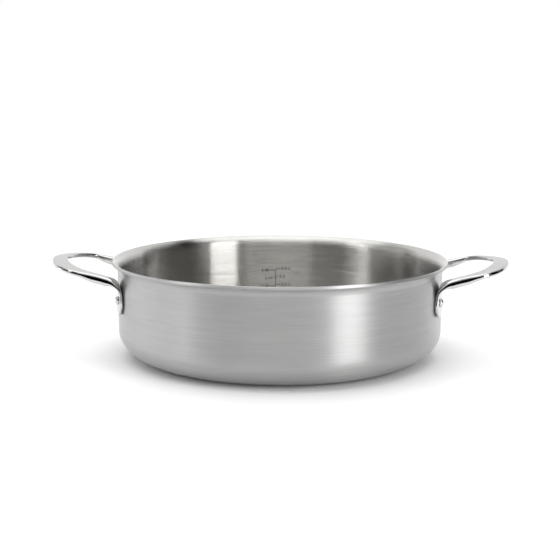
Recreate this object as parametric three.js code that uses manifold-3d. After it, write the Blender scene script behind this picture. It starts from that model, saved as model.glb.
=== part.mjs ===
// Roasting pot: a three-layer clad steel pot with a flared pouring rim and two riveted loop handles.
// Millimetres and degrees. +Z is up, the pot stands on z = 0 and the handles lie along X.
import * as THREE from "three";
import { mergeVertices } from "three/addons/utils/BufferGeometryUtils.js";
import Module from "manifold-3d";

// Pot
const INNER_DIAMETER = 280;
const POT_HEIGHT = 86;
const INNER_PLY = 0.5;
const CORE_PLY = 1.7;
const OUTER_PLY = 0.5;
const BOND_GAP = 0.02;
const BASE_CORNER_ACROSS = 34;
const BASE_CORNER_HIGH = 25;
const FLARE_RADIUS = 7.5;
const FLARE_ANGLE = 70;

// Handle: the bar's back face follows the wall up from the foot, bends out, rises and turns into the grip
const GRIP_REACH = 58.8;
const GRIP_WIDTH = 13.4;
const GRIP_THICKNESS = 4.5;
const GRIP_TILT = 15;
const GRIP_FLAT_LENGTH = 30;
const SHOULDER_THICKNESS = 4.4;
const SHOULDER_DISTANCE = 29;
const SHOULDER_LENGTH = 18;
const LEG_WIDTH = 10.5;
const LEG_THICKNESS = 7.6;
const LEG_TILT = 4;
const LEG_LENGTH = 33;
const LEG_CLOSING = 1.2;
const LEG_RISE = 18.2;
const GRIP_RISE = 11.3;
const RISE_RADIUS = 94;
const BEND_RADIUS = 12.5;
const EDGE_ROUNDING = 0.75;
const FACET_WIDTH = 2.6;
const FACET_RISE = 9;
const FACET_RISE_ON_GRIP = 5;
const FACET_RISE_AT_FOOT = -14;
const FACET_ROUNDING = 2;
const CLOSING_START = 6;
const CLOSING_LENGTH = 30;
const CLOSING_SHARE = 0.5;
const SIDE_EASE = 0.57;
const TIP_EASE = 0.33;

// Feet and rivets
const FOOT_SPREAD = 94.8;
const FOOT_WIDTH = 19;
const FOOT_THICKNESS = 2.4;
const FOOT_BELOW_RIVET = 12.3;
const FOOT_ABOVE_RIVET = 7.8;
const RIVET_BELOW_LIP = 30.4;
const RIVET_SHANK_DIAMETER = 4.8;
const RIVET_HEAD_DIAMETER = 7.4;
const RIVET_HEAD_HEIGHT = 2.3;
const FORMED_HEAD_DIAMETER = 8.4;
const FORMED_HEAD_HEIGHT = 1.5;
const HOLE_CLEARANCE = 0.15;
const SEAT_GAP = 0.3;

// Facets
const POT_SIDES = 60;
const CORNER_STEPS = 5;
const FLARE_STEPS = 4;
const RIVET_SIDES = 14;
const DOME_STEPS = 4;

const WALL = INNER_PLY + CORE_PLY + OUTER_PLY;
const WALL_RADIUS = INNER_DIAMETER / 2 + WALL;
const RIVET_HEIGHT = POT_HEIGHT - RIVET_BELOW_LIP;
const FOOT_FACE_RADIUS = WALL_RADIUS + SEAT_GAP;
const FOOT_ANGLE = Math.asin(FOOT_SPREAD / 2 / FOOT_FACE_RADIUS);

const wasm = await Module();
wasm.setup();

function radians(degrees) {
  return (degrees * Math.PI) / 180;
}

function mix(a, b, t) {
  return a + (b - a) * t;
}

function ease(t) {
  const k = Math.min(Math.max(t, 0), 1);
  return k * k * (3 - 2 * k);
}

// An even climb from 0 to 1 with short soft ends.
function gentle(t) {
  const k = Math.min(Math.max(t, 0), 1);
  return mix(k, ease(k), 0.3);
}

// A three.js geometry as a solid that can be cut.
function solid(geometry) {
  const bare = new THREE.BufferGeometry();
  bare.setAttribute("position", geometry.getAttribute("position"));
  if (geometry.index) bare.setIndex(geometry.index);
  const merged = mergeVertices(bare, 1e-4);
  return new wasm.Manifold(
    new wasm.Mesh({
      numProp: 3,
      vertProperties: new Float32Array(merged.getAttribute("position").array),
      triVerts: new Uint32Array(merged.index.array),
    }),
  );
}

function geometryOf(body) {
  const mesh = body.getMesh();
  const geometry = new THREE.BufferGeometry();
  geometry.setAttribute("position", new THREE.BufferAttribute(mesh.vertProperties, 3));
  geometry.setIndex(new THREE.BufferAttribute(mesh.triVerts, 1));
  return geometry;
}

// A body turned about Z from a profile of [radius, height] pairs.
function turned(profile, sides) {
  const points = profile.map(([r, z]) => new THREE.Vector2(r, z));
  return new THREE.LatheGeometry(points, sides).rotateX(Math.PI / 2);
}

// The pot's section at a given depth below its inside face, from the middle of the base to the lip.
function wallFace(depth) {
  const below = WALL - depth;
  const face = [[0, below]];
  for (let i = 0; i <= CORNER_STEPS; i++) {
    const a = (i / CORNER_STEPS) * (Math.PI / 2);
    face.push([
      WALL_RADIUS - BASE_CORNER_ACROSS + (BASE_CORNER_ACROSS - below) * Math.sin(a),
      BASE_CORNER_HIGH - (BASE_CORNER_HIGH - below) * Math.cos(a),
    ]);
  }
  const flareRadius = FLARE_RADIUS + below;
  const flareStart = POT_HEIGHT - (FLARE_RADIUS + WALL) * Math.sin(radians(FLARE_ANGLE));
  for (let i = 0; i <= FLARE_STEPS; i++) {
    const a = (i / FLARE_STEPS) * radians(FLARE_ANGLE);
    face.push([
      WALL_RADIUS + FLARE_RADIUS - flareRadius * Math.cos(a),
      flareStart + flareRadius * Math.sin(a),
    ]);
  }
  return face;
}

// One layer of the pot between two depths, its outside face first.
function ply(insideDepth, outsideDepth) {
  const profile = [...wallFace(outsideDepth), ...wallFace(insideDepth).reverse()];
  return geometryOf(cutForRivets(solid(turned(profile, POT_SIDES)), [-1, 1]));
}

// A cylinder along the line from the pot's axis through one rivet.
function rivetHole(sideX, sideY) {
  const radius = RIVET_SHANK_DIAMETER / 2 + HOLE_CLEARANCE;
  const bore = new THREE.CylinderGeometry(radius, radius, INNER_DIAMETER / 4, RIVET_SIDES);
  return solid(onRivetLine(bore.translate(0, WALL_RADIUS, 0), sideX, sideY));
}

// Turns a geometry made along +Y so that it lies along a rivet's line.
function onRivetLine(geometry, sideX, sideY) {
  const heading = Math.atan2(sideY * Math.sin(FOOT_ANGLE), sideX * Math.cos(FOOT_ANGLE));
  return geometry.rotateZ(heading - Math.PI / 2).translate(0, 0, RIVET_HEIGHT);
}

// A rivet: domed head outside the foot, shank through foot and wall, formed head inside the pot.
function rivet(sideX, sideY) {
  const headSeat = FOOT_FACE_RADIUS + FOOT_THICKNESS + SEAT_GAP;
  const formedSeat = INNER_DIAMETER / 2 - SEAT_GAP;
  const profile = [];
  for (let i = 0; i <= DOME_STEPS; i++) {
    const a = (1 - i / DOME_STEPS) * (Math.PI / 2);
    const reach = FORMED_HEAD_HEIGHT * Math.sin(a);
    profile.push([(FORMED_HEAD_DIAMETER / 2) * Math.cos(a), formedSeat - reach]);
  }
  profile.push([RIVET_SHANK_DIAMETER / 2, formedSeat]);
  profile.push([RIVET_SHANK_DIAMETER / 2, headSeat]);
  for (let i = 0; i <= DOME_STEPS; i++) {
    const a = (i / DOME_STEPS) * (Math.PI / 2);
    profile.push([(RIVET_HEAD_DIAMETER / 2) * Math.cos(a), headSeat + RIVET_HEAD_HEIGHT * Math.sin(a)]);
  }
  profile[0][0] = 0;
  profile[profile.length - 1][0] = 0;
  const points = profile.map(([r, along]) => new THREE.Vector2(r, along));
  return onRivetLine(new THREE.LatheGeometry(points, RIVET_SIDES), sideX, sideY);
}

// The handle's plan from the foot to the middle of the grip, as points a short step apart.
function handlePlan() {
  const foot = new THREE.Vector2(FOOT_FACE_RADIUS * Math.cos(FOOT_ANGLE), FOOT_SPREAD / 2);
  const legEnd = new THREE.Vector2(foot.x + LEG_LENGTH, foot.y - LEG_CLOSING);
  const tip = new THREE.Vector2(WALL_RADIUS + GRIP_REACH - GRIP_WIDTH / 2, 0);
  const heading = legEnd.clone().sub(foot).normalize();
  const sideControl = legEnd.clone().addScaledVector(heading, SIDE_EASE * (tip.x - legEnd.x));
  const tipControl = new THREE.Vector2(tip.x, TIP_EASE * legEnd.y);
  const plan = new THREE.CurvePath();
  plan.add(new THREE.LineCurve(foot, legEnd));
  plan.add(new THREE.CubicBezierCurve(legEnd, sideControl, tipControl, tip));
  return plan;
}

// Points up the back face of one leg and along the top of half the grip, with the distance out along
// the plan and the angle of rise at each.
function handleLine() {
  const plan = handlePlan();
  const planLength = plan.getLength();
  const at = (distance) => plan.getPointAt(Math.min(distance / planLength, 1));
  const footBottom = RIVET_HEIGHT - FOOT_BELOW_RIVET;
  const bendStart = RIVET_HEIGHT + FOOT_ABOVE_RIVET;
  const legRise = radians(LEG_RISE);
  const gripRise = radians(GRIP_RISE);
  const line = [];
  const add = (distance, height, rise) => {
    const p = at(distance);
    line.push({ point: new THREE.Vector3(p.x, p.y, height), distance, rise });
  };
  for (const share of [0, 0.04, 0.13, 0.28, 0.5, 0.75]) {
    add(0, mix(footBottom, bendStart, share), Math.PI / 2);
  }
  const bendTurn = Math.PI / 2 - legRise;
  for (let i = 0; i <= 8; i++) {
    const a = (i / 8) * bendTurn;
    add(BEND_RADIUS * (1 - Math.cos(a)), bendStart + BEND_RADIUS * Math.sin(a), Math.PI / 2 - a);
  }
  const legStart = line[line.length - 1];
  for (let i = 1; i <= 4; i++) {
    const a = mix(legRise, gripRise, i / 4);
    add(
      legStart.distance + RISE_RADIUS * (Math.sin(legRise) - Math.sin(a)),
      legStart.point.z + RISE_RADIUS * (Math.cos(a) - Math.cos(legRise)),
      a,
    );
  }
  const gripStart = line[line.length - 1];
  const steps = 18;
  for (let i = 1; i <= steps; i++) {
    const distance = mix(gripStart.distance, planLength, i / steps);
    const height = gripStart.point.z + (at(distance).x - gripStart.point.x) * Math.tan(gripRise);
    add(distance, height, gripRise);
  }
  return { line, footLength: bendStart - footBottom, bendLength: BEND_RADIUS * bendTurn };
}

// The bar's section as [across, deep] pairs about its middle: a rectangle with rounded corners, the
// outer upper one cut by a facet that faces up by an angle.
function barSection(width, thickness, facetWidth, facetAngle) {
  const radius = (Math.min(width, thickness) / 2) * EDGE_ROUNDING;
  const facetRadius = mix(radius, Math.min(radius, FACET_ROUNDING), Math.min(facetWidth, 1));
  const widest = (0.95 * (thickness - radius - facetRadius)) / Math.cos(facetAngle);
  const facet = Math.min(facetWidth, widest);
  const facetAcross = facet * Math.sin(facetAngle);
  const facetDeep = facet * Math.cos(facetAngle);
  const outerAcross = width / 2 - facetRadius;
  const outerDeep = thickness / 2 - facetRadius - facetDeep;
  const points = [];
  for (const a of [0, facetAngle]) {
    points.push([outerAcross + facetRadius * Math.cos(a), outerDeep + facetRadius * Math.sin(a)]);
  }
  for (const share of [0, 0.5, 1]) {
    const a = mix(facetAngle, Math.PI / 2, share);
    points.push([
      outerAcross - facetAcross + facetRadius * Math.cos(a),
      outerDeep + facetDeep + facetRadius * Math.sin(a),
    ]);
  }
  const corners = [
    [-1, 1, 1],
    [-1, -1, 2],
    [1, -1, 3],
  ];
  for (const [signAcross, signDeep, quarter] of corners) {
    for (const share of [0, 0.5, 1]) {
      const a = (quarter + share) * (Math.PI / 2);
      points.push([
        signAcross * (width / 2 - radius) + radius * Math.cos(a),
        signDeep * (thickness / 2 - radius) + radius * Math.sin(a),
      ]);
    }
  }
  return points;
}

// Rings of points round the bar, from the foot at +Y to the middle of the grip.
function handleRings() {
  const { line, footLength, bendLength } = handleLine();
  const last = line.length - 1;
  let travelled = 0;
  const reached = line.map((stop, i) => {
    if (i > 0) travelled += stop.point.distanceTo(line[i - 1].point);
    return travelled;
  });
  const legStart = footLength + bendLength + LEG_THICKNESS;
  return line.map((stop, i) => {
    const along = reached[i];
    const offFoot = ease((along - 0.8 * footLength) / (1.25 * bendLength + 0.2 * footLength));
    const onGrip = ease((along - legStart) / (travelled - legStart - GRIP_FLAT_LENGTH));
    const pastShoulder = ease((stop.distance - SHOULDER_DISTANCE) / SHOULDER_LENGTH + 0.5);
    const narrowed = gentle((along - FOOT_WIDTH / 2) / (footLength + bendLength - FOOT_WIDTH / 2));
    let width = mix(FOOT_WIDTH, LEG_WIDTH, narrowed) + (GRIP_WIDTH - LEG_WIDTH) * onGrip;
    let thickness = mix(FOOT_THICKNESS, LEG_THICKNESS, offFoot);
    thickness += (SHOULDER_THICKNESS - LEG_THICKNESS) * pastShoulder;
    thickness += (GRIP_THICKNESS - SHOULDER_THICKNESS) * onGrip;
    const fromEnd = Math.max(1 - along / (FOOT_WIDTH / 2), 0);
    width *= Math.sqrt(Math.max(1 - fromEnd * fromEnd, 0.06));

    const before = line[Math.max(i - 1, 0)].point;
    const after = line[Math.min(i + 1, last)].point;
    const forward = after.clone().sub(before).normalize();
    if (i === 0) forward.set(0, 0, 1);
    if (i === last) forward.set(0, -1, 0);
    const turnedOut = ease((along - 0.8 * footLength) / (0.7 * bendLength + 0.2 * footLength));
    const facing = FOOT_ANGLE * (1 - turnedOut);
    const back = new THREE.Vector3(
      -Math.sin(stop.rise) * Math.cos(facing),
      -Math.sin(stop.rise) * Math.sin(facing),
      Math.cos(stop.rise),
    );
    back.addScaledVector(forward, -back.dot(forward)).normalize();
    const outer = new THREE.Vector3().crossVectors(back, forward);
    const tilt = radians(mix(LEG_TILT * offFoot, GRIP_TILT, onGrip));
    back.multiplyScalar(Math.cos(tilt)).addScaledVector(outer, Math.sin(tilt));
    outer.crossVectors(back, forward);

    // The foot narrows into the leg on its inner side first, so that the outer side runs on smoothly.
    const closing = 1 - ease((stop.distance - CLOSING_START) / CLOSING_LENGTH);
    const outward = ((FOOT_WIDTH - LEG_WIDTH) / 2) * offFoot * closing * CLOSING_SHARE;
    const facet = Math.max(FACET_WIDTH * offFoot, 0.05);
    const facetRise = mix(FACET_RISE_AT_FOOT, mix(FACET_RISE, FACET_RISE_ON_GRIP, onGrip), offFoot);
    const facetAngle = Math.max(tilt + radians(facetRise), 0.02);
    return barSection(width, thickness, facet, facetAngle).map(([across, deep]) => {
      const curl = ((across * across) / (2 * WALL_RADIUS)) * (1 - offFoot);
      return stop.point
        .clone()
        .addScaledVector(outer, across + outward)
        .addScaledVector(back, deep - thickness / 2 + curl);
    });
  });
}

// A closed skin over rings of equal point counts.
function skinned(rings) {
  const count = rings[0].length;
  const positions = rings.flat().flatMap((p) => [p.x, p.y, p.z]);
  const index = [];
  for (let i = 0; i < rings.length - 1; i++) {
    for (let j = 0; j < count; j++) {
      const a = i * count + j;
      const b = i * count + ((j + 1) % count);
      index.push(a, b, a + count, b, b + count, a + count);
    }
  }
  const end = (rings.length - 1) * count;
  for (let j = 1; j < count - 1; j++) {
    index.push(0, j + 1, j);
    index.push(end, end + j, end + j + 1);
  }
  const geometry = new THREE.BufferGeometry();
  geometry.setAttribute("position", new THREE.Float32BufferAttribute(positions, 3));
  geometry.setIndex(index);
  return geometry;
}

// One whole handle on the +X side, or its copy turned half round on the -X side.
function handle(sideX) {
  const half = handleRings();
  const mirrored = half
    .slice(0, -1)
    .reverse()
    .map((ring) => ring.map((p) => new THREE.Vector3(p.x, -p.y, p.z)));
  const bar = skinned([...half, ...mirrored]);
  if (sideX < 0) bar.rotateZ(Math.PI);
  const fitted = solid(bar).subtract(solid(potOutline(SEAT_GAP)));
  return geometryOf(cutForRivets(fitted, [sideX]));
}

// The space the pot fills, grown by a gap on the outside.
function potOutline(gap) {
  const face = wallFace(WALL + gap);
  const lipHeight = face[face.length - 1][1];
  return turned([...face, [0, lipHeight]], POT_SIDES);
}

// Takes the rivet holes on the given sides out of a solid.
function cutForRivets(body, sides) {
  let cut = body;
  for (const sideX of sides) {
    for (const sideY of [-1, 1]) {
      cut = cut.subtract(rivetHole(sideX, sideY));
    }
  }
  return cut;
}

const linerSteel = new THREE.MeshStandardMaterial({ color: 0xc9c8c4, roughness: 0.32, metalness: 1 });
const coreAluminium = new THREE.MeshStandardMaterial({ color: 0xd6d7d8, roughness: 0.4, metalness: 1 });
const shellSteel = new THREE.MeshStandardMaterial({ color: 0xc4c4c3, roughness: 0.35, metalness: 1 });
const handleSteel = new THREE.MeshStandardMaterial({ color: 0xcfcfce, roughness: 0.12, metalness: 1 });
const rivetSteel = new THREE.MeshStandardMaterial({ color: 0xcbcbca, roughness: 0.2, metalness: 1 });

const pot = new THREE.Group();
function addPiece(name, geometry, material) {
  const mesh = new THREE.Mesh(geometry, material);
  mesh.name = name;
  pot.add(mesh);
}

const coreStart = INNER_PLY + BOND_GAP / 2;
const coreEnd = INNER_PLY + CORE_PLY - BOND_GAP / 2;
addPiece("inner_ply", ply(0, INNER_PLY - BOND_GAP / 2), linerSteel);
addPiece("core_ply", ply(coreStart, coreEnd), coreAluminium);
addPiece("outer_ply", ply(coreEnd + BOND_GAP, WALL), shellSteel);
addPiece("handle_left", handle(-1), handleSteel);
addPiece("handle_right", handle(1), handleSteel);
addPiece("rivet_left_front", rivet(-1, -1), rivetSteel);
addPiece("rivet_left_rear", rivet(-1, 1), rivetSteel);
addPiece("rivet_right_front", rivet(1, -1), rivetSteel);
addPiece("rivet_right_rear", rivet(1, 1), rivetSteel);

export default pot;
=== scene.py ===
import math

import bpy
import numpy as np
from mathutils import Matrix, Vector


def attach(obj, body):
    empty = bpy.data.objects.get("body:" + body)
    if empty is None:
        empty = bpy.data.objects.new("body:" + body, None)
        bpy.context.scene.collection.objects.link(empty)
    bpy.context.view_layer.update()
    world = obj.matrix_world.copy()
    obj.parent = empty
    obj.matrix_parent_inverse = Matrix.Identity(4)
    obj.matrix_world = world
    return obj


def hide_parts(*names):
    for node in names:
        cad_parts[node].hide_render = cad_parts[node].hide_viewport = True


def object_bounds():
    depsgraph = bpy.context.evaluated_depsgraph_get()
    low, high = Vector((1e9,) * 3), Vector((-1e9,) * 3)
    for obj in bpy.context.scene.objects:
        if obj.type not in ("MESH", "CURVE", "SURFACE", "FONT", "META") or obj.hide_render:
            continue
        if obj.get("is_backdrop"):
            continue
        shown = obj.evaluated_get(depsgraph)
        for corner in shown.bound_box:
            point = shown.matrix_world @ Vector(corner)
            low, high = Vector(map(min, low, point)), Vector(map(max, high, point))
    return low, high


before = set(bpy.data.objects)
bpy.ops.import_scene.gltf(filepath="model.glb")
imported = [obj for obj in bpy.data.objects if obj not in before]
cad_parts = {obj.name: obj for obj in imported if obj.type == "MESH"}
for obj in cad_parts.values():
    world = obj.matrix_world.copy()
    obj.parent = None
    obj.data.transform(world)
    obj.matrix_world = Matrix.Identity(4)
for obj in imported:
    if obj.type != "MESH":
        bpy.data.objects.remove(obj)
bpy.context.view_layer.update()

# Lengths are in millimetres and angles in degrees, unless a comment says otherwise. Meshes are in metres.
MM = 0.001

# Pot
INNER_DIAMETER = 280.0
POT_HEIGHT = 86.0
INNER_PLY = 0.5
CORE_PLY = 1.7
OUTER_PLY = 0.5
BOND_GAP = 0.02
BASE_CORNER_ACROSS = 34.0
BASE_CORNER_HIGH = 25.0
FLARE_RADIUS = 7.5
FLARE_ANGLE = 70.0
LIP_ROUNDING = 0.42
CORE_SETBACK = 0.06

# Handle
GRIP_REACH = 58.8
GRIP_WIDTH = 13.4
GRIP_THICKNESS = 4.5
GRIP_TILT = 15.0
GRIP_FLAT_LENGTH = 30.0
SHOULDER_THICKNESS = 4.4
SHOULDER_DISTANCE = 29.0
SHOULDER_LENGTH = 18.0
LEG_WIDTH = 10.5
LEG_THICKNESS = 7.6
LEG_TILT = 4.0
LEG_LENGTH = 33.0
LEG_CLOSING = 1.2
LEG_RISE = 18.2
GRIP_RISE = 11.3
RISE_RADIUS = 94.0
BEND_RADIUS = 12.5
EDGE_ROUNDING = 0.75
FACET_WIDTH = 2.6
FACET_RISE = 9.0
FACET_RISE_ON_GRIP = 5.0
FACET_RISE_AT_FOOT = -14.0
FACET_ROUNDING = 2.0
FACET_ROOM = 0.95  # largest share of the side between its rounded corners
LEAST_FACET = 0.05
LEAST_FACET_ANGLE = 0.02  # radians
CLOSING_START = 6.0
CLOSING_LENGTH = 30.0
CLOSING_SHARE = 0.5
SIDE_EASE = 0.57
TIP_EASE = 0.33
END_SOFTNESS = 0.3
# At this share of the foot the bar starts to thicken and to turn off the wall.
# The two others are the shares of the bend at which it has done so.
FOOT_SHARE = 0.8
THICKENING_END = 1.25
TURNING_END = 0.7
# Share of a rounded corner at which the satin of the top face starts, and the share over which it fades in
SATIN_START = 0.55
SATIN_FADE = 0.3

# Feet and rivets
FOOT_SPREAD = 94.8
FOOT_WIDTH = 19.0
FOOT_THICKNESS = 2.4
FOOT_BELOW_RIVET = 12.3
FOOT_ABOVE_RIVET = 7.8
RIVET_BELOW_LIP = 30.4
RIVET_SHANK_DIAMETER = 4.8
RIVET_HEAD_DIAMETER = 7.4
RIVET_HEAD_HEIGHT = 2.3
FORMED_HEAD_DIAMETER = 8.4
FORMED_HEAD_HEIGHT = 1.5
HOLE_CLEARANCE = 0.15
SEAT_GAP = 0.3
BORE_REACH = 30.0
LEAST_END_WIDTH = 0.003  # squared share of the foot's width

# Measuring scale etched into the far inner wall
SCALE_ARC = -6.9
SCALE_BOTTOM = 27.0
LEFT_TOP = 51.6
LEFT_STEP = 8.0
LEFT_TICKS = (5.8, 2.4)
LEFT_LABELS = ("3.00", "2.50", "2.00", "1.50")
LEFT_LABEL_GAP = 0.8
RIGHT_TOP = 53.3
RIGHT_STEP = 8.1
RIGHT_TICKS = (4.6, 2.6)
RIGHT_LABELS = ("3.0 L", "2.5", "2.0 L", "1.5")
RIGHT_LABEL_GAP = 1.2
SCALE_LINE = 0.5
MARK_DEPTH = 0.03
MARK_COLUMN = 1.5
LABEL_SIZE = 3.6
LABEL_BOLDNESS = 0.09
LABEL_SPACING = 1.25

WALL = INNER_PLY + CORE_PLY + OUTER_PLY
WALL_RADIUS = INNER_DIAMETER / 2 + WALL
FLARE_START = POT_HEIGHT - (FLARE_RADIUS + WALL) * math.sin(math.radians(FLARE_ANGLE))
RIVET_HEIGHT = POT_HEIGHT - RIVET_BELOW_LIP
FOOT_FACE_RADIUS = WALL_RADIUS + SEAT_GAP
FOOT_ANGLE = math.asin(FOOT_SPREAD / 2 / FOOT_FACE_RADIUS)  # radians

# Brushing. Streaks are given by features round the pot, rows to a metre and detail of the noise.
GROOVE_WIDTH = 0.01
ACROSS_STREAKS = 0.25  # turns
FINE_STREAKS = (5, 1100, 4)
BROAD_STREAKS = (1.6, 260, 2)
BROAD_SHARE = 0.4
STREAK_DARK = 0.89
STREAK_LIGHT = 1.08
STREAK_DULLNESS = 0.03

# Polish and the satin grain on the grips. Scales are features to a metre.
CLOUD_SCALE = 160
CLOUD_DETAIL = 3
CLOUD_DARK = 0.96
CLOUD_LIGHT = 1.03
CLOUD_UNEVENNESS = 0.25
GRAIN_SCALE = 2200
GRAIN_DETAIL = 2
GRAIN_STRENGTH = 0.15
GRAIN_DEPTH = 0.00005  # metres

# Etched marks
MARK_METALLIC = 0.4
MARK_ROUGHNESS = 0.6
MARK_NOISE_SCALE = 1500
MARK_DARK = (0.03, 0.03, 0.028, 1)
MARK_LIGHT = (0.09, 0.088, 0.08, 1)

# Levels of the noise at which streaks and clouds are darkest and lightest
NOISE_LOW = 0.3
NOISE_HIGH = 0.7

# Mesh fineness
POT_SIDES = 180
FINE_STEPS = {"base": 14, "corner": 20, "wall": 14, "flare": 20}
COARSE_STEPS = {"base": 2, "corner": 10, "wall": 6, "flare": 10}
LIP_STEPS = 6
RIVET_SIDES = 48
RIVET_HEAD_STEPS = 12
PLAN_LEG_POINTS = 60
PLAN_BOW_POINTS = 400
FOOT_END_START = 0.06  # radians
FOOT_END_STEPS = 14
FOOT_STEPS = 6
BEND_STEPS = 24
RISE_STEPS = 10
GRIP_STEPS = 52
CORNER_STEPS = 8
FLAT_STEPS = 4
LABEL_CURVE_STEPS = 3
SHARP_ANGLE = 35
HANDLE_SHARP_ANGLE = 50
MARK_SHARP_ANGLE = 30
ON_AXIS = 1e-6


def mix(a, b, t):
    return a + (b - a) * t


def ease(t):
    k = min(max(t, 0.0), 1.0)
    return k * k * (3 - 2 * k)


def gentle(t):
    """An even climb from 0 to 1 with slightly softened ends."""
    k = min(max(t, 0.0), 1.0)
    return mix(k, ease(k), END_SOFTNESS)


def spaced(start, end, steps):
    """Numbers from start to end in equal steps, both ends included."""
    return [mix(start, end, i / steps) for i in range(steps + 1)]


def mesh_object(name, points, faces, sharp_angle=SHARP_ANGLE):
    """A smooth-shaded mesh object from points in millimetres, sharp where its faces meet steeply."""
    mesh = bpy.data.meshes.new(name)
    mesh.from_pydata([Vector(p) * MM for p in points], [], faces)
    mesh.validate()
    mesh.shade_smooth()
    mesh.set_sharp_from_angle(angle=math.radians(sharp_angle))
    piece = bpy.data.objects.new(name, mesh)
    bpy.context.scene.collection.objects.link(piece)
    return piece


def revolved(profile, sides):
    """Points and faces of a closed section of (radius, height) pairs turned about Z, axis to axis."""
    points = []
    rings = []
    for radius, height in profile:
        if radius < ON_AXIS:
            rings.append([len(points)])
            points.append((0.0, 0.0, height))
            continue
        ring = []
        for i in range(sides):
            a = 2 * math.pi * i / sides
            ring.append(len(points))
            points.append((radius * math.cos(a), radius * math.sin(a), height))
        rings.append(ring)
    faces = []
    for low, high in zip(rings, rings[1:]):
        for i in range(sides):
            j = (i + 1) % sides
            if len(low) == 1:
                faces.append((low[0], high[j], high[i]))
            elif len(high) == 1:
                faces.append((low[i], low[j], high[0]))
            else:
                faces.append((low[i], low[j], high[j], high[i]))
    return points, faces


def lip_point(depth, setback):
    """A point of the section near the lip: depth below the inside face, set back from the cut edge."""
    radius = FLARE_RADIUS + WALL - depth
    a = math.radians(FLARE_ANGLE) - setback / radius
    return WALL_RADIUS + FLARE_RADIUS - radius * math.cos(a), FLARE_START + radius * math.sin(a)


def wall_face(depth, setback, steps=FINE_STEPS):
    """The section at a depth below the inside face, from the middle of the base to near the lip."""
    below = WALL - depth
    flat_radius = WALL_RADIUS - BASE_CORNER_ACROSS
    face = [(r, below) for r in spaced(0, flat_radius, steps["base"])]
    for a in spaced(0, math.pi / 2, steps["corner"])[1:]:
        radius = flat_radius + (BASE_CORNER_ACROSS - below) * math.sin(a)
        face.append((radius, BASE_CORNER_HIGH - (BASE_CORNER_HIGH - below) * math.cos(a)))
    for z in spaced(BASE_CORNER_HIGH, FLARE_START, steps["wall"])[1:-1]:
        face.append((WALL_RADIUS - below, z))
    length = math.radians(FLARE_ANGLE) * (FLARE_RADIUS + below)
    for out in spaced(length, setback, steps["flare"]):
        face.append(lip_point(depth, out))
    return face


def lip_rounding(edge_depth, inward):
    """Points round the lip's edge on one side: the face at edge_depth turns into the cut edge."""
    points = []
    for a in spaced(0, math.pi / 2, LIP_STEPS)[1:]:
        depth = edge_depth + inward * LIP_ROUNDING * (1 - math.cos(a))
        points.append(lip_point(depth, LIP_ROUNDING * (1 - math.sin(a))))
    return points


def inner_ply_section():
    back = INNER_PLY - BOND_GAP / 2
    outside = wall_face(back, 0, COARSE_STEPS)
    inside = wall_face(0, LIP_ROUNDING) + lip_rounding(0, 1)
    return outside + inside[::-1]


def core_ply_section():
    front = INNER_PLY + BOND_GAP / 2
    back = INNER_PLY + CORE_PLY - BOND_GAP / 2
    outside = wall_face(back, CORE_SETBACK, COARSE_STEPS)
    return outside + wall_face(front, CORE_SETBACK, COARSE_STEPS)[::-1]


def outer_ply_section():
    front = INNER_PLY + CORE_PLY + BOND_GAP / 2
    outside = wall_face(WALL, LIP_ROUNDING) + lip_rounding(WALL, -1)
    return outside + wall_face(front, 0, COARSE_STEPS)[::-1]


def on_rivet_line(points, side_x, side_y):
    """Turns points made along +Y so that they lie along a rivet's line."""
    heading = math.atan2(side_y * math.sin(FOOT_ANGLE), side_x * math.cos(FOOT_ANGLE))
    turn = Matrix.Rotation(heading - math.pi / 2, 3, "Z")
    lift = Vector((0, 0, RIVET_HEIGHT))
    return [turn @ Vector(p) + lift for p in points]


def along_y(points):
    """Points turned about Z laid so that their axis is +Y."""
    return [(x, z, -y) for x, y, z in points]


def drilled(piece, sides):
    """Takes the rivet holes on the given sides out of a piece's mesh."""
    radius = RIVET_SHANK_DIAMETER / 2 + HOLE_CLEARANCE
    low, high = WALL_RADIUS - BORE_REACH, WALL_RADIUS + BORE_REACH
    bore = [(0, low), (radius, low), (radius, high), (0, high)]
    cutters = []
    for side_x in sides:
        for side_y in (-1, 1):
            points, faces = revolved(bore, RIVET_SIDES)
            cutter = mesh_object("bore", on_rivet_line(along_y(points), side_x, side_y), faces)
            cut = piece.modifiers.new("bore", "BOOLEAN")
            cut.object = cutter
            cut.operation = "DIFFERENCE"
            cut.solver = "EXACT"
            cutters.append(cutter)
    graph = bpy.context.evaluated_depsgraph_get()
    finished = bpy.data.meshes.new_from_object(piece.evaluated_get(graph))
    piece.modifiers.clear()
    piece.data = finished
    piece.data.name = piece.name
    for cutter in cutters:
        spare = cutter.data
        bpy.data.objects.remove(cutter)
        bpy.data.meshes.remove(spare)
    return piece


def rivet_section():
    """A rivet's section as (radius, distance from the pot's axis) pairs: formed head, shank, domed head."""
    head_seat = FOOT_FACE_RADIUS + FOOT_THICKNESS + SEAT_GAP
    formed_seat = INNER_DIAMETER / 2 - SEAT_GAP
    section = []
    for a in spaced(math.pi / 2, 0, RIVET_HEAD_STEPS):
        reach = FORMED_HEAD_HEIGHT * math.sin(a)
        section.append((FORMED_HEAD_DIAMETER / 2 * math.cos(a), formed_seat - reach))
    section.append((RIVET_SHANK_DIAMETER / 2, formed_seat))
    section.append((RIVET_SHANK_DIAMETER / 2, head_seat))
    for a in spaced(0, math.pi / 2, RIVET_HEAD_STEPS):
        section.append((RIVET_HEAD_DIAMETER / 2 * math.cos(a), head_seat + RIVET_HEAD_HEIGHT * math.sin(a)))
    section[0] = (0, section[0][1])
    section[-1] = (0, section[-1][1])
    return section


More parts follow.
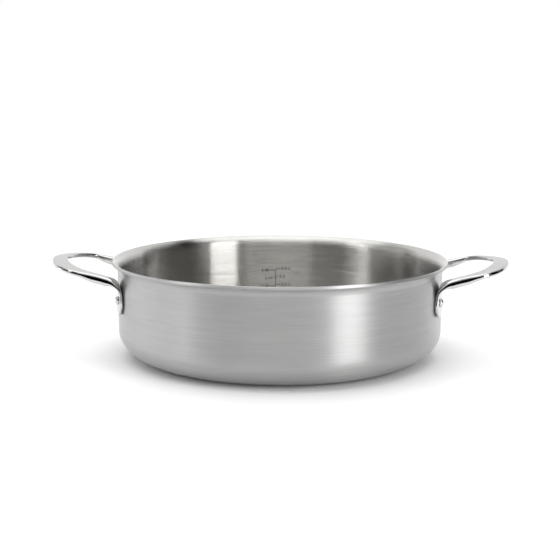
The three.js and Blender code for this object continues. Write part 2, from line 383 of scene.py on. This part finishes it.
def handle_plan():
    """The handle's plan from the foot to the middle of the grip: distances, and the points there."""
    foot = np.array((FOOT_FACE_RADIUS * math.cos(FOOT_ANGLE), FOOT_SPREAD / 2))
    leg_end = foot + (LEG_LENGTH, -LEG_CLOSING)
    tip = np.array((WALL_RADIUS + GRIP_REACH - GRIP_WIDTH / 2, 0.0))
    heading = (leg_end - foot) / np.linalg.norm(leg_end - foot)
    side_control = leg_end + heading * SIDE_EASE * (tip[0] - leg_end[0])
    tip_control = np.array((tip[0], TIP_EASE * leg_end[1]))
    t = np.linspace(0, 1, PLAN_BOW_POINTS)[:, None]
    bow = (
        (1 - t) ** 3 * leg_end
        + 3 * (1 - t) ** 2 * t * side_control
        + 3 * (1 - t) * t**2 * tip_control
        + t**3 * tip
    )
    points = np.vstack([np.linspace(foot, leg_end, PLAN_LEG_POINTS)[:-1], bow])
    steps = np.linalg.norm(np.diff(points, axis=0), axis=1)
    return np.concatenate([[0], np.cumsum(steps)]), points


def handle_line():
    """Stops up the back of one leg and along half the grip, each with its place, plan distance and rise."""
    reach, plan = handle_plan()
    foot_bottom = RIVET_HEIGHT - FOOT_BELOW_RIVET
    bend_start = RIVET_HEIGHT + FOOT_ABOVE_RIVET
    leg_rise = math.radians(LEG_RISE)
    grip_rise = math.radians(GRIP_RISE)
    stops = []

    def add(distance, height, rise):
        x = np.interp(distance, reach, plan[:, 0])
        y = np.interp(distance, reach, plan[:, 1])
        stops.append((np.array((x, y, height)), distance, rise))

    round_end = FOOT_WIDTH / 2
    for a in spaced(FOOT_END_START, math.pi / 2, FOOT_END_STEPS):
        add(0, foot_bottom + round_end * (1 - math.cos(a)), math.pi / 2)
    for height in spaced(foot_bottom + round_end, bend_start, FOOT_STEPS)[1:-1]:
        add(0, height, math.pi / 2)
    turn = math.pi / 2 - leg_rise
    for a in spaced(0, turn, BEND_STEPS):
        add(BEND_RADIUS * (1 - math.cos(a)), bend_start + BEND_RADIUS * math.sin(a), math.pi / 2 - a)
    leg_start, leg_distance = stops[-1][0], stops[-1][1]
    for a in spaced(leg_rise, grip_rise, RISE_STEPS)[1:]:
        add(
            leg_distance + RISE_RADIUS * (math.sin(leg_rise) - math.sin(a)),
            leg_start[2] + RISE_RADIUS * (math.cos(a) - math.cos(leg_rise)),
            a,
        )
    grip_start, grip_distance = stops[-1][0], stops[-1][1]
    for distance in spaced(grip_distance, reach[-1], GRIP_STEPS)[1:]:
        x = np.interp(distance, reach, plan[:, 0])
        add(distance, grip_start[2] + (x - grip_start[0]) * math.tan(grip_rise), grip_rise)
    return stops, bend_start - foot_bottom, BEND_RADIUS * turn


def bar_section(width, thickness, facet, facet_angle):
    """The bar's section as (across, deep) pairs about its middle: a rectangle with rounded corners, the
    outer upper one cut by a facet of the given width that faces up by the given angle."""
    radius = min(width, thickness) / 2 * EDGE_ROUNDING
    facet_radius = mix(radius, min(radius, FACET_ROUNDING), min(facet, 1))
    facet = min(facet, FACET_ROOM * (thickness - radius - facet_radius) / math.cos(facet_angle))
    half = CORNER_STEPS // 2
    points = []
    for share in spaced(0, 1, half):
        a = share * facet_angle
        points.append((facet_radius * math.cos(a), facet_radius * math.sin(a)))
    for share in spaced(0, 1, CORNER_STEPS - half - 1):
        a = mix(facet_angle, math.pi / 2, share)
        across = facet_radius * math.cos(a) - facet * math.sin(facet_angle)
        deep = facet_radius * math.sin(a) + facet * math.cos(facet_angle)
        points.append((across, deep))
    shift_across = width / 2 - points[0][0]
    shift_deep = thickness / 2 - points[-1][1]
    points = [(across + shift_across, deep + shift_deep) for across, deep in points]

    def straight(end_across):
        start_across, level = points[-1]
        for share in spaced(0, 1, FLAT_STEPS)[1:-1]:
            points.append((mix(start_across, end_across, share), level))

    straight(radius - width / 2)
    for sign_across, sign_deep, quarter in ((-1, 1, 1), (-1, -1, 2), (1, -1, 3)):
        for share in spaced(0, 1, CORNER_STEPS):
            a = (quarter + share) * math.pi / 2
            across = sign_across * (width / 2 - radius) + radius * math.cos(a)
            deep = sign_deep * (thickness / 2 - radius) + radius * math.sin(a)
            points.append((across, deep))
        if quarter == 2:
            straight(width / 2 - radius)
    return points


def top_faces():
    """How far each point of the bar's section belongs to its top face, from 0 to 1."""
    corner = spaced(0, 1, CORNER_STEPS)
    rising = [ease((share - SATIN_START) / SATIN_FADE) for share in corner]
    below = [0.0] * (2 * len(corner) + FLAT_STEPS - 1)
    return rising + [1.0] * (FLAT_STEPS - 1) + rising[::-1] + below


def unit(v):
    return v / np.linalg.norm(v)


def clear_of_wall(point):
    """The point, moved straight out where it would come nearer to the pot's wall than the seat gap."""
    radius = math.hypot(point[0], point[1])
    lift = min(max(point[2] - FLARE_START, 0), FLARE_RADIUS)
    limit = FOOT_FACE_RADIUS + FLARE_RADIUS - math.sqrt(FLARE_RADIUS**2 - lift**2)
    if radius >= limit:
        return point
    return np.array((point[0] * limit / radius, point[1] * limit / radius, point[2]))


def handle_rings():
    """Rings of points round the bar, from the foot at +Y to the middle of the grip, and how far each is
    a satin grip."""
    stops, foot_length, bend_length = handle_line()
    places = np.array([place for place, _, _ in stops])
    start = places[0][2] - (RIVET_HEIGHT - FOOT_BELOW_RIVET)
    reached = start + np.concatenate([[0], np.cumsum(np.linalg.norm(np.diff(places, axis=0), axis=1))])
    leg_start = foot_length + bend_length + LEG_THICKNESS
    rings = []
    shares = []
    for i, (place, distance, rise) in enumerate(stops):
        along = reached[i]
        past_foot = along - FOOT_SHARE * foot_length
        foot_rest = (1 - FOOT_SHARE) * foot_length
        off_foot = ease(past_foot / (THICKENING_END * bend_length + foot_rest))
        on_grip = ease((along - leg_start) / (reached[-1] - leg_start - GRIP_FLAT_LENGTH))
        past_shoulder = ease((distance - SHOULDER_DISTANCE) / SHOULDER_LENGTH + 0.5)
        narrowed = (along - FOOT_WIDTH / 2) / (foot_length + bend_length - FOOT_WIDTH / 2)
        width = mix(FOOT_WIDTH, LEG_WIDTH, gentle(narrowed)) + (GRIP_WIDTH - LEG_WIDTH) * on_grip
        thickness = mix(FOOT_THICKNESS, LEG_THICKNESS, off_foot)
        thickness += (SHOULDER_THICKNESS - LEG_THICKNESS) * past_shoulder
        thickness += (GRIP_THICKNESS - SHOULDER_THICKNESS) * on_grip
        from_end = max(1 - along / (FOOT_WIDTH / 2), 0)
        width *= math.sqrt(max(1 - from_end**2, LEAST_END_WIDTH))

        forward = unit(places[min(i + 1, len(places) - 1)] - places[max(i - 1, 0)])
        if distance == 0:
            forward = np.array((0.0, 0.0, 1.0))
        if i == len(stops) - 1:
            forward = np.array((0.0, -1.0, 0.0))
        facing = FOOT_ANGLE * (1 - ease(past_foot / (TURNING_END * bend_length + foot_rest)))
        back = np.array(
            (-math.sin(rise) * math.cos(facing), -math.sin(rise) * math.sin(facing), math.cos(rise))
        )
        back = unit(back - forward * back.dot(forward))
        outer = np.cross(back, forward)
        tilt = math.radians(mix(LEG_TILT * off_foot, GRIP_TILT, on_grip))
        back = back * math.cos(tilt) + outer * math.sin(tilt)
        outer = np.cross(back, forward)
        # The foot narrows into the leg on its inner side first, so that the outer side runs on smoothly.
        closing = 1 - ease((distance - CLOSING_START) / CLOSING_LENGTH)
        outward = (FOOT_WIDTH - LEG_WIDTH) / 2 * off_foot * closing * CLOSING_SHARE
        facet = max(FACET_WIDTH * off_foot, LEAST_FACET)
        facet_rise = mix(FACET_RISE_AT_FOOT, mix(FACET_RISE, FACET_RISE_ON_GRIP, on_grip), off_foot)
        facet_angle = max(tilt + math.radians(facet_rise), LEAST_FACET_ANGLE)
        ring = []
        for across, deep in bar_section(width, thickness, facet, facet_angle):
            curl = across**2 / (2 * WALL_RADIUS) * (1 - off_foot)
            sideways = outer * (across + outward)
            ring.append(clear_of_wall(place + sideways + back * (deep - thickness / 2 + curl)))
        rings.append(ring)
        shares.append(on_grip)
    return np.array(rings), shares


def handle(name, side_x):
    """One whole handle on the +X side, or the same turned half round on the -X side."""
    half, shares = handle_rings()
    mirrored = half[-2::-1] * (1, -1, 1)
    rings = np.vstack([half, mirrored])
    count = rings.shape[1]
    points = rings.reshape(-1, 3)
    if side_x < 0:
        points = points * (-1, -1, 1)
    faces = []
    for i in range(len(rings) - 1):
        for j in range(count):
            a = i * count + j
            b = i * count + (j + 1) % count
            faces.append((a, b, b + count, a + count))
    faces.append(tuple(range(count))[::-1])
    end = (len(rings) - 1) * count
    faces.append(tuple(range(end, end + count)))
    piece = mesh_object(name, [tuple(p) for p in points], faces, HANDLE_SHARP_ANGLE)
    shares = shares + shares[-2::-1]
    satin = piece.data.attributes.new("satin", "FLOAT", "POINT")
    satin.data.foreach_set("value", [share * face for share in shares for face in top_faces()])
    return drilled(piece, [side_x])


def label_points(text):
    """Points and triangles of plain upright characters, flat, with the middle of their left edge at 0, 0."""
    words = bpy.data.curves.new("label", "FONT")
    words.body = text
    words.size = LABEL_SIZE
    words.offset = LABEL_BOLDNESS
    words.space_character = LABEL_SPACING
    words.align_y = "CENTER"
    words.resolution_u = LABEL_CURVE_STEPS
    holder = bpy.data.objects.new("label", words)
    mesh = holder.to_mesh()
    mesh.calc_loop_triangles()
    points = [(v.co.x, v.co.y) for v in mesh.vertices]
    triangles = [tuple(t.vertices) for t in mesh.loop_triangles]
    holder.to_mesh_clear()
    bpy.data.objects.remove(holder)
    bpy.data.curves.remove(words)
    return points, triangles


def measuring_scale():
    """Etched marks on the inner wall: an upright line with ticks and plain numbers on both sides."""
    flat = []

    def bar(left, right, low, high):
        columns = max(1, round((right - left) / MARK_COLUMN))
        xs = spaced(left, right, columns)
        points = [(x, z) for x in xs for z in (low, high)]
        triangles = []
        for i in range(columns):
            a = 2 * i
            triangles.append((a, a + 2, a + 3))
            triangles.append((a, a + 3, a + 1))
        flat.append((points, triangles))

    def label(text, x, z, to_left):
        points, triangles = label_points(text)
        wide = max(p[0] for p in points)
        shift = x - wide if to_left else x
        flat.append(([(px + shift, pz + z) for px, pz in points], triangles))

    half = SCALE_LINE / 2
    bar(SCALE_ARC - half, SCALE_ARC + half, SCALE_BOTTOM, LEFT_TOP + half)
    for i, text in enumerate(LEFT_LABELS):
        z = LEFT_TOP - i * LEFT_STEP
        tick = LEFT_TICKS[i % 2]
        bar(SCALE_ARC - tick, SCALE_ARC - half, z - half, z + half)
        label(text, SCALE_ARC - tick - LEFT_LABEL_GAP, z, to_left=True)
    for i, text in enumerate(RIGHT_LABELS):
        z = RIGHT_TOP - i * RIGHT_STEP
        tick = RIGHT_TICKS[i % 2]
        bar(SCALE_ARC + half, SCALE_ARC + tick, z - half, z + half)
        label(text, SCALE_ARC + tick + RIGHT_LABEL_GAP, z, to_left=False)

    radius = INNER_DIAMETER / 2
    points = []
    faces = []
    for shape, triangles in flat:
        first = len(points)
        for level in (radius - MARK_DEPTH, radius + MARK_DEPTH):
            for x, z in shape:
                a = math.pi / 2 - x / radius
                points.append((level * math.cos(a), level * math.sin(a), z))
        count = len(shape)
        edges = {}
        for t in triangles:
            faces.append(tuple(first + v for v in t))
            faces.append(tuple(first + count + v for v in t[::-1]))
            for a, b in zip(t, t[1:] + t[:1]):
                edges[(a, b)] = True
        for a, b in edges:
            if (b, a) not in edges:
                faces.append((first + b, first + a, first + count + a, first + count + b))
    return mesh_object("measuring_scale", points, faces, MARK_SHARP_ANGLE)


def node(tree, kind, **settings):
    made = tree.nodes.new(kind)
    for key, value in settings.items():
        setattr(made, key, value)
    return made


def material(name):
    made = bpy.data.materials.new(name)
    made.use_nodes = True
    shader = made.node_tree.nodes["Principled BSDF"]
    return made, made.node_tree, shader


def brushed_steel(name, colour, roughness, stretch, groove_slope, lip_slope):
    """Steel brushed round the pot's axis: fine streaks, and reflections drawn out across them."""
    made, tree, shader = material(name)
    link = tree.links.new
    shader.inputs["Metallic"].default_value = 1
    shader.inputs["Anisotropic"].default_value = stretch
    shader.inputs["Anisotropic Rotation"].default_value = ACROSS_STREAKS
    tangent = node(tree, "ShaderNodeTangent", direction_type="RADIAL", axis="Z")
    link(tangent.outputs["Tangent"], shader.inputs["Tangent"])

    place = node(tree, "ShaderNodeTexCoord")
    apart = node(tree, "ShaderNodeSeparateXYZ")
    link(place.outputs["Object"], apart.inputs[0])
    level = node(tree, "ShaderNodeCombineXYZ")
    link(apart.outputs["X"], level.inputs["X"])
    link(apart.outputs["Y"], level.inputs["Y"])
    radius = node(tree, "ShaderNodeVectorMath", operation="LENGTH")
    link(level.outputs[0], radius.inputs[0])
    round_axis = node(tree, "ShaderNodeVectorMath", operation="NORMALIZE")
    link(level.outputs[0], round_axis.inputs[0])
    along_wall = node(tree, "ShaderNodeMath", operation="ADD")
    link(apart.outputs["Z"], along_wall.inputs[0])
    link(radius.outputs["Value"], along_wall.inputs[1])

    def streaks(per_turn, per_metre, detail):
        turn = node(tree, "ShaderNodeVectorMath", operation="SCALE")
        link(round_axis.outputs[0], turn.inputs[0])
        turn.inputs["Scale"].default_value = per_turn
        parts = node(tree, "ShaderNodeSeparateXYZ")
        link(turn.outputs[0], parts.inputs[0])
        rows = node(tree, "ShaderNodeMath", operation="MULTIPLY")
        link(along_wall.outputs[0], rows.inputs[0])
        rows.inputs[1].default_value = per_metre
        grid = node(tree, "ShaderNodeCombineXYZ")
        link(parts.outputs["X"], grid.inputs["X"])
        link(parts.outputs["Y"], grid.inputs["Y"])
        link(rows.outputs[0], grid.inputs["Z"])
        noise = node(tree, "ShaderNodeTexNoise")
        noise.inputs["Scale"].default_value = 1
        noise.inputs["Detail"].default_value = detail
        link(grid.outputs[0], noise.inputs["Vector"])
        return noise.outputs["Fac"]

    fine = streaks(*FINE_STREAKS)
    broad = streaks(*BROAD_STREAKS)
    both = node(tree, "ShaderNodeMix", data_type="FLOAT")
    both.inputs["Factor"].default_value = BROAD_SHARE
    link(fine, both.inputs["A"])
    link(broad, both.inputs["B"])

    tint = node(tree, "ShaderNodeValToRGB")
    tint.color_ramp.elements[0].position = NOISE_LOW
    tint.color_ramp.elements[1].position = NOISE_HIGH
    tint.color_ramp.elements[0].color = (*[c * STREAK_DARK for c in colour], 1)
    tint.color_ramp.elements[1].color = (*[c * STREAK_LIGHT for c in colour], 1)
    link(both.outputs["Result"], tint.inputs["Fac"])
    link(tint.outputs["Color"], shader.inputs["Base Color"])

    dullness = node(tree, "ShaderNodeMapRange")
    dullness.inputs["From Min"].default_value = NOISE_LOW
    dullness.inputs["From Max"].default_value = NOISE_HIGH
    dullness.inputs["To Min"].default_value = roughness - STREAK_DULLNESS
    dullness.inputs["To Max"].default_value = roughness + STREAK_DULLNESS
    link(both.outputs["Result"], dullness.inputs["Value"])
    link(dullness.outputs["Result"], shader.inputs["Roughness"])

    # Each groove leans the surface a little up or down the wall.
    surface = node(tree, "ShaderNodeNewGeometry")
    up_wall = node(tree, "ShaderNodeVectorMath", operation="CROSS_PRODUCT")
    link(tangent.outputs["Tangent"], up_wall.inputs[0])
    link(surface.outputs["Normal"], up_wall.inputs[1])
    row = node(tree, "ShaderNodeMath", operation="DIVIDE")
    link(along_wall.outputs[0], row.inputs[0])
    row.inputs[1].default_value = GROOVE_WIDTH * MM
    whole_row = node(tree, "ShaderNodeMath", operation="FLOOR")
    link(row.outputs[0], whole_row.inputs[0])
    chance = node(tree, "ShaderNodeTexWhiteNoise", noise_dimensions="1D")
    link(whole_row.outputs[0], chance.inputs["W"])
    steepness = node(tree, "ShaderNodeMapRange", interpolation_type="SMOOTHSTEP")
    link(apart.outputs["Z"], steepness.inputs["Value"])
    steepness.inputs["From Min"].default_value = FLARE_START * MM
    steepness.inputs["From Max"].default_value = POT_HEIGHT * MM
    steepness.inputs["To Min"].default_value = groove_slope
    steepness.inputs["To Max"].default_value = lip_slope
    swing = node(tree, "ShaderNodeMapRange")
    swing.inputs["To Min"].default_value = -1
    link(chance.outputs["Value"], swing.inputs["Value"])
    slope = node(tree, "ShaderNodeMath", operation="MULTIPLY")
    link(swing.outputs["Result"], slope.inputs[0])
    link(steepness.outputs["Result"], slope.inputs[1])
    lean = node(tree, "ShaderNodeVectorMath", operation="SCALE")
    link(up_wall.outputs[0], lean.inputs[0])
    link(slope.outputs[0], lean.inputs["Scale"])
    leaning = node(tree, "ShaderNodeVectorMath", operation="ADD")
    link(surface.outputs["Normal"], leaning.inputs[0])
    link(lean.outputs[0], leaning.inputs[1])
    facing = node(tree, "ShaderNodeVectorMath", operation="NORMALIZE")
    link(leaning.outputs[0], facing.inputs[0])
    link(facing.outputs[0], shader.inputs["Normal"])
    return made


def polished_steel(name, colour, roughness, satin_roughness):
    """Polished steel: faintly uneven in colour and gloss, and dull where the mesh's satin share says so."""
    made, tree, shader = material(name)
    link = tree.links.new
    shader.inputs["Metallic"].default_value = 1
    place = node(tree, "ShaderNodeTexCoord")
    cloud = node(tree, "ShaderNodeTexNoise")
    cloud.inputs["Scale"].default_value = CLOUD_SCALE
    cloud.inputs["Detail"].default_value = CLOUD_DETAIL
    link(place.outputs["Object"], cloud.inputs["Vector"])
    tint = node(tree, "ShaderNodeValToRGB")
    tint.color_ramp.elements[0].position = NOISE_LOW
    tint.color_ramp.elements[1].position = NOISE_HIGH
    tint.color_ramp.elements[0].color = (*[c * CLOUD_DARK for c in colour], 1)
    tint.color_ramp.elements[1].color = (*[c * CLOUD_LIGHT for c in colour], 1)
    link(cloud.outputs["Fac"], tint.inputs["Fac"])
    link(tint.outputs["Color"], shader.inputs["Base Color"])

    share = node(tree, "ShaderNodeAttribute", attribute_name="satin")
    dullness = node(tree, "ShaderNodeMapRange")
    dullness.inputs["To Min"].default_value = roughness
    dullness.inputs["To Max"].default_value = satin_roughness
    link(share.outputs["Fac"], dullness.inputs["Value"])
    uneven = node(tree, "ShaderNodeMapRange")
    uneven.inputs["To Min"].default_value = 1 - CLOUD_UNEVENNESS
    uneven.inputs["To Max"].default_value = 1 + CLOUD_UNEVENNESS
    link(cloud.outputs["Fac"], uneven.inputs["Value"])
    gloss = node(tree, "ShaderNodeMath", operation="MULTIPLY")
    link(dullness.outputs["Result"], gloss.inputs[0])
    link(uneven.outputs["Result"], gloss.inputs[1])
    link(gloss.outputs[0], shader.inputs["Roughness"])

    grain = node(tree, "ShaderNodeTexNoise")
    grain.inputs["Scale"].default_value = GRAIN_SCALE
    grain.inputs["Detail"].default_value = GRAIN_DETAIL
    link(place.outputs["Object"], grain.inputs["Vector"])
    height = node(tree, "ShaderNodeMath", operation="MULTIPLY")
    link(grain.outputs["Fac"], height.inputs[0])
    link(share.outputs["Fac"], height.inputs[1])
    bump = node(tree, "ShaderNodeBump")
    bump.inputs["Strength"].default_value = GRAIN_STRENGTH
    bump.inputs["Distance"].default_value = GRAIN_DEPTH
    link(height.outputs[0], bump.inputs["Height"])
    link(bump.outputs["Normal"], shader.inputs["Normal"])
    return made


def etched_mark(name):
    """Dark etched steel, a little uneven."""
    made, tree, shader = material(name)
    link = tree.links.new
    shader.inputs["Metallic"].default_value = MARK_METALLIC
    shader.inputs["Roughness"].default_value = MARK_ROUGHNESS
    place = node(tree, "ShaderNodeTexCoord")
    noise = node(tree, "ShaderNodeTexNoise")
    noise.inputs["Scale"].default_value = MARK_NOISE_SCALE
    link(place.outputs["Object"], noise.inputs["Vector"])
    tint = node(tree, "ShaderNodeValToRGB")
    tint.color_ramp.elements[0].color = MARK_DARK
    tint.color_ramp.elements[1].color = MARK_LIGHT
    link(noise.outputs["Fac"], tint.inputs["Fac"])
    link(tint.outputs["Color"], shader.inputs["Base Color"])
    return made


def dress(piece, surface, slot, *nodes):
    """Gives a piece its finish, hangs it under the root body and hides the given CAD nodes."""
    piece.data.materials.clear()
    piece.data.materials.append(surface)
    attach(piece, "root")
    if nodes:
        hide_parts(*nodes)


liner_finish = brushed_steel(
    "liner_finish", (0.60, 0.592, 0.57), roughness=0.22, stretch=1.0, groove_slope=0.42, lip_slope=0.12
)
shell_finish = brushed_steel(
    "shell_finish", (0.475, 0.475, 0.473), roughness=0.40, stretch=0.87, groove_slope=0.12, lip_slope=0.06
)
core_finish = brushed_steel(
    "core_finish", (0.60, 0.60, 0.61), roughness=0.45, stretch=0.8, groove_slope=0.1, lip_slope=0.1
)
handle_finish = polished_steel("handle_finish", (0.61, 0.61, 0.602), roughness=0.09, satin_roughness=0.36)
rivet_finish = polished_steel("rivet_finish", (0.64, 0.64, 0.63), roughness=0.14, satin_roughness=0.14)
scale_finish = etched_mark("scale_finish")

for name, section, surface, slot, cad_node in (
    ("pot_liner", inner_ply_section(), liner_finish, "liner_steel", "inner_ply"),
    ("pot_core", core_ply_section(), core_finish, "core_aluminium", "core_ply"),
    ("pot_shell", outer_ply_section(), shell_finish, "shell_steel", "outer_ply"),
):
    shape = mesh_object(name, *revolved(section, POT_SIDES))
    dress(drilled(shape, [-1, 1]), surface, slot, cad_node)

for side, side_x in (("left", -1), ("right", 1)):
    dress(handle("grip_" + side, side_x), handle_finish, "handle_steel", "handle_" + side)
    for end, side_y in (("front", -1), ("rear", 1)):
        points, faces = revolved(rivet_section(), RIVET_SIDES)
        shape = mesh_object(f"stud_{side}_{end}", on_rivet_line(along_y(points), side_x, side_y), faces)
        dress(shape, rivet_finish, "rivet_steel", f"rivet_{side}_{end}")

dress(measuring_scale(), scale_finish, "liner_steel")

# Stage: a pale floor, a room of light zones and one softbox
FLOOR_REACH = 40.0  # metres
FLOOR_SHADE = 0.97
SHADOW_RADIUS = 105.0
WHITE_RADIUS = 175.0
FLOOR_GLOW = 0.17

scene = bpy.context.scene
floor_mesh = bpy.data.meshes.new("floor")
floor_corners = [(x * FLOOR_REACH, y * FLOOR_REACH, 0) for x, y in ((-1, -1), (1, -1), (1, 1), (-1, 1))]
floor_mesh.from_pydata(floor_corners, [], [(0, 1, 2, 3)])
floor = bpy.data.objects.new("floor", floor_mesh)
scene.collection.objects.link(floor)
floor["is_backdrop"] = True
floor_paint, floor_tree, floor_shader = material("floor_paint")
floor_shader.inputs["Base Color"].default_value = (FLOOR_SHADE, FLOOR_SHADE, FLOOR_SHADE, 1)
floor_shader.inputs["Roughness"].default_value = 1
floor_shader.inputs["Specular IOR Level"].default_value = 0
floor_mesh.materials.append(floor_paint)

# Past the pot's shadow the floor is seen, straight or in the steel, as a little whiter than it is lit.
seen = node(floor_tree, "ShaderNodeLightPath")
in_view = node(floor_tree, "ShaderNodeMath", operation="MAXIMUM")
floor_tree.links.new(seen.outputs["Is Camera Ray"], in_view.inputs[0])
floor_tree.links.new(seen.outputs["Is Glossy Ray"], in_view.inputs[1])
in_any_view = node(floor_tree, "ShaderNodeMath", operation="MAXIMUM")
floor_tree.links.new(in_view.outputs[0], in_any_view.inputs[0])
floor_tree.links.new(seen.outputs["Is Transmission Ray"], in_any_view.inputs[1])
floor_place = node(floor_tree, "ShaderNodeTexCoord")
from_middle = node(floor_tree, "ShaderNodeVectorMath", operation="LENGTH")
floor_tree.links.new(floor_place.outputs["Object"], from_middle.inputs[0])
clear_of_shadow = node(floor_tree, "ShaderNodeMapRange", interpolation_type="SMOOTHSTEP")
floor_tree.links.new(from_middle.outputs["Value"], clear_of_shadow.inputs["Value"])
clear_of_shadow.inputs["From Min"].default_value = SHADOW_RADIUS * MM
clear_of_shadow.inputs["From Max"].default_value = WHITE_RADIUS * MM
clear_of_shadow.inputs["To Max"].default_value = FLOOR_GLOW
glow = node(floor_tree, "ShaderNodeMath", operation="MULTIPLY")
floor_tree.links.new(clear_of_shadow.outputs["Result"], glow.inputs[0])
floor_tree.links.new(in_any_view.outputs[0], glow.inputs[1])
floor_shader.inputs["Emission Color"].default_value = (1, 1, 1, 1)
floor_tree.links.new(glow.outputs[0], floor_shader.inputs["Emission Strength"])

# Directions are degrees round the pot from the camera, right positive, and degrees up from the horizon.
# Each zone of the room: name, from and to round the pot, from and to upwards, brightness (1 is white).
# The room is dark where no zone lies.
ROOM = (
    ("rear_white", 127, 237, -90, 50, 1.0),
    ("left_low", -120, -62, -90, 5.5, 3.7),
    ("front_horizon", -62, 22, -90, 1.5, 1.0),
    ("softbox_foot", 22, 66, -90, 8, 1.0),
    ("right_horizon", 66, 127, -90, 1.5, 1.0),
    ("front_wall", -25, 30, 24, 35, 0.72),
    ("front_above", -25, 30, 35, 50, 0.8),
    ("front_left", -57, -25, 14, 50, 0.07),
    ("left_strip", -74, -65, 16, 50, 2.6),
    ("left_half", -65, -55, 16, 50, 0.9),
    ("left_dark", -120, -72, 5.5, 28, 0.05),
    ("left_above", -101, -74, 28, 50, 0.6),
    ("left_slit", -110, -101, 16, 50, 1.0),
    ("right_slit", 107, 114, 10, 50, 0.45),
    ("right_glow", 60, 72, 8, 50, 0.18),
    ("upper_left", 195, 310, 50, 70, 1.7),
    ("upper_front", -50, 10, 50, 70, 1.4),
    ("upper_right", 10, 150, 58, 70, 1.8),
    ("upper_rear", 150, 195, 50, 70, 1.3),
    ("overhead", -180, 180, 70, 90, 2.0),
)
ZONE_SOFTNESS = 3.0  # half the width of a zone's soft edge

world = bpy.data.worlds.new("studio")
scene.world = world
world.use_nodes = True
sky = world.node_tree
backdrop = sky.nodes["Background"]
backdrop.inputs["Strength"].default_value = 1.0


def sky_math(operation, first, second=None):
    made = node(sky, "ShaderNodeMath", operation=operation)
    for socket, value in zip(made.inputs, (first, second)):
        if isinstance(value, (int, float)):
            socket.default_value = value
        elif value is not None:
            sky.links.new(value, socket)
    return made.outputs[0]


def past(angle, edge):
    """0 before the edge and 1 past it, with a soft step."""
    step = node(sky, "ShaderNodeMapRange", interpolation_type="SMOOTHSTEP")
    sky.links.new(angle, step.inputs["Value"])
    step.inputs["From Min"].default_value = edge - ZONE_SOFTNESS
    step.inputs["From Max"].default_value = edge + ZONE_SOFTNESS
    return step.outputs["Result"]


def between(angle, start, end):
    return sky_math("SUBTRACT", past(angle, start), past(angle, end))


direction = node(sky, "ShaderNodeTexCoord")
axes = node(sky, "ShaderNodeSeparateXYZ")
sky.links.new(direction.outputs["Generated"], axes.inputs[0])
ahead = sky_math("MULTIPLY", axes.outputs["Y"], -1)
turn_front = sky_math("DEGREES", sky_math("ARCTAN2", axes.outputs["X"], ahead))
behind = sky_math("ARCTAN2", sky_math("MULTIPLY", axes.outputs["X"], -1), axes.outputs["Y"])
turn_rear = sky_math("ADD", sky_math("DEGREES", behind), 180)
climb = sky_math("DEGREES", sky_math("ARCSINE", axes.outputs["Z"]))
light = None
for name, start, end, low, high, level in ROOM:
    turn = turn_rear if end > 180 else turn_front
    zone = between(climb, low, high)
    if end - start < 360:
        zone = sky_math("MULTIPLY", zone, between(turn, start, end))
    strength = node(sky, "ShaderNodeMath", operation="MULTIPLY", name=name)
    sky.links.new(zone, strength.inputs[0])
    strength.inputs[1].default_value = level
    light = strength.outputs[0] if light is None else sky_math("ADD", light, strength.outputs[0])
grey = node(sky, "ShaderNodeCombineXYZ")
for axis in "XYZ":
    sky.links.new(light, grey.inputs[axis])
sky.links.new(grey.outputs[0], backdrop.inputs["Color"])


def softbox(name, left, right, low, high, brightness):
    """An upright lamp between two places on the floor plan, facing the pot, in metres."""
    left, right = Vector((*left, 0)), Vector((*right, 0))
    width = (right - left).length
    lamp = bpy.data.lights.new(name, "AREA")
    lamp.shape = "RECTANGLE"
    lamp.size = width
    lamp.size_y = high - low
    lamp.energy = brightness * math.pi * width * (high - low)
    holder = bpy.data.objects.new(name, lamp)
    middle = (left + right) / 2
    holder.location = middle + Vector((0, 0, (low + high) / 2))
    across = (right - left).normalized()
    inward = across.cross(Vector((0, 0, 1)))
    if inward.dot(middle) > 0:
        inward = -inward
    holder.rotation_euler = inward.to_track_quat("-Z", "Y").to_euler()
    holder.visible_camera = False
    scene.collection.objects.link(holder)


softbox(
    "softbox_right", left=(1.193, -1.589), right=(1.701, -1.026), low=0.02, high=1.55, brightness=4.1
)

# Camera. Its target and distance are in metres, the image, focal length and shifts in the photo's pixels.
TARGET = Vector((0, 0, 0.040))
DISTANCE = 1.050
ELEVATION = 11.26
YAW = 1.02
ROLL = 0.2585
IMAGE = 560
FOCAL_PIXELS = 1177
SHIFT_RIGHT = -0.14
SHIFT_DOWN = 28.6
SENSOR = 36.0

lens = bpy.data.cameras.new("camera")
lens.sensor_width = SENSOR
lens.lens = FOCAL_PIXELS / IMAGE * SENSOR
lens.shift_x = -SHIFT_RIGHT / IMAGE
lens.shift_y = SHIFT_DOWN / IMAGE
camera = bpy.data.objects.new("camera", lens)
scene.collection.objects.link(camera)
elevation, yaw, roll = (math.radians(angle) for angle in (ELEVATION, YAW, ROLL))
level = math.cos(elevation)
away = Vector((level * math.sin(yaw), -level * math.cos(yaw), math.sin(elevation)))
camera.location = TARGET + away * DISTANCE
turned = (-away).to_track_quat("-Z", "Y").to_matrix() @ Matrix.Rotation(roll, 3, "Z")
camera.rotation_euler = turned.to_euler()
scene.camera = camera
scene.view_settings.view_transform = "Standard"

low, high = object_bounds()
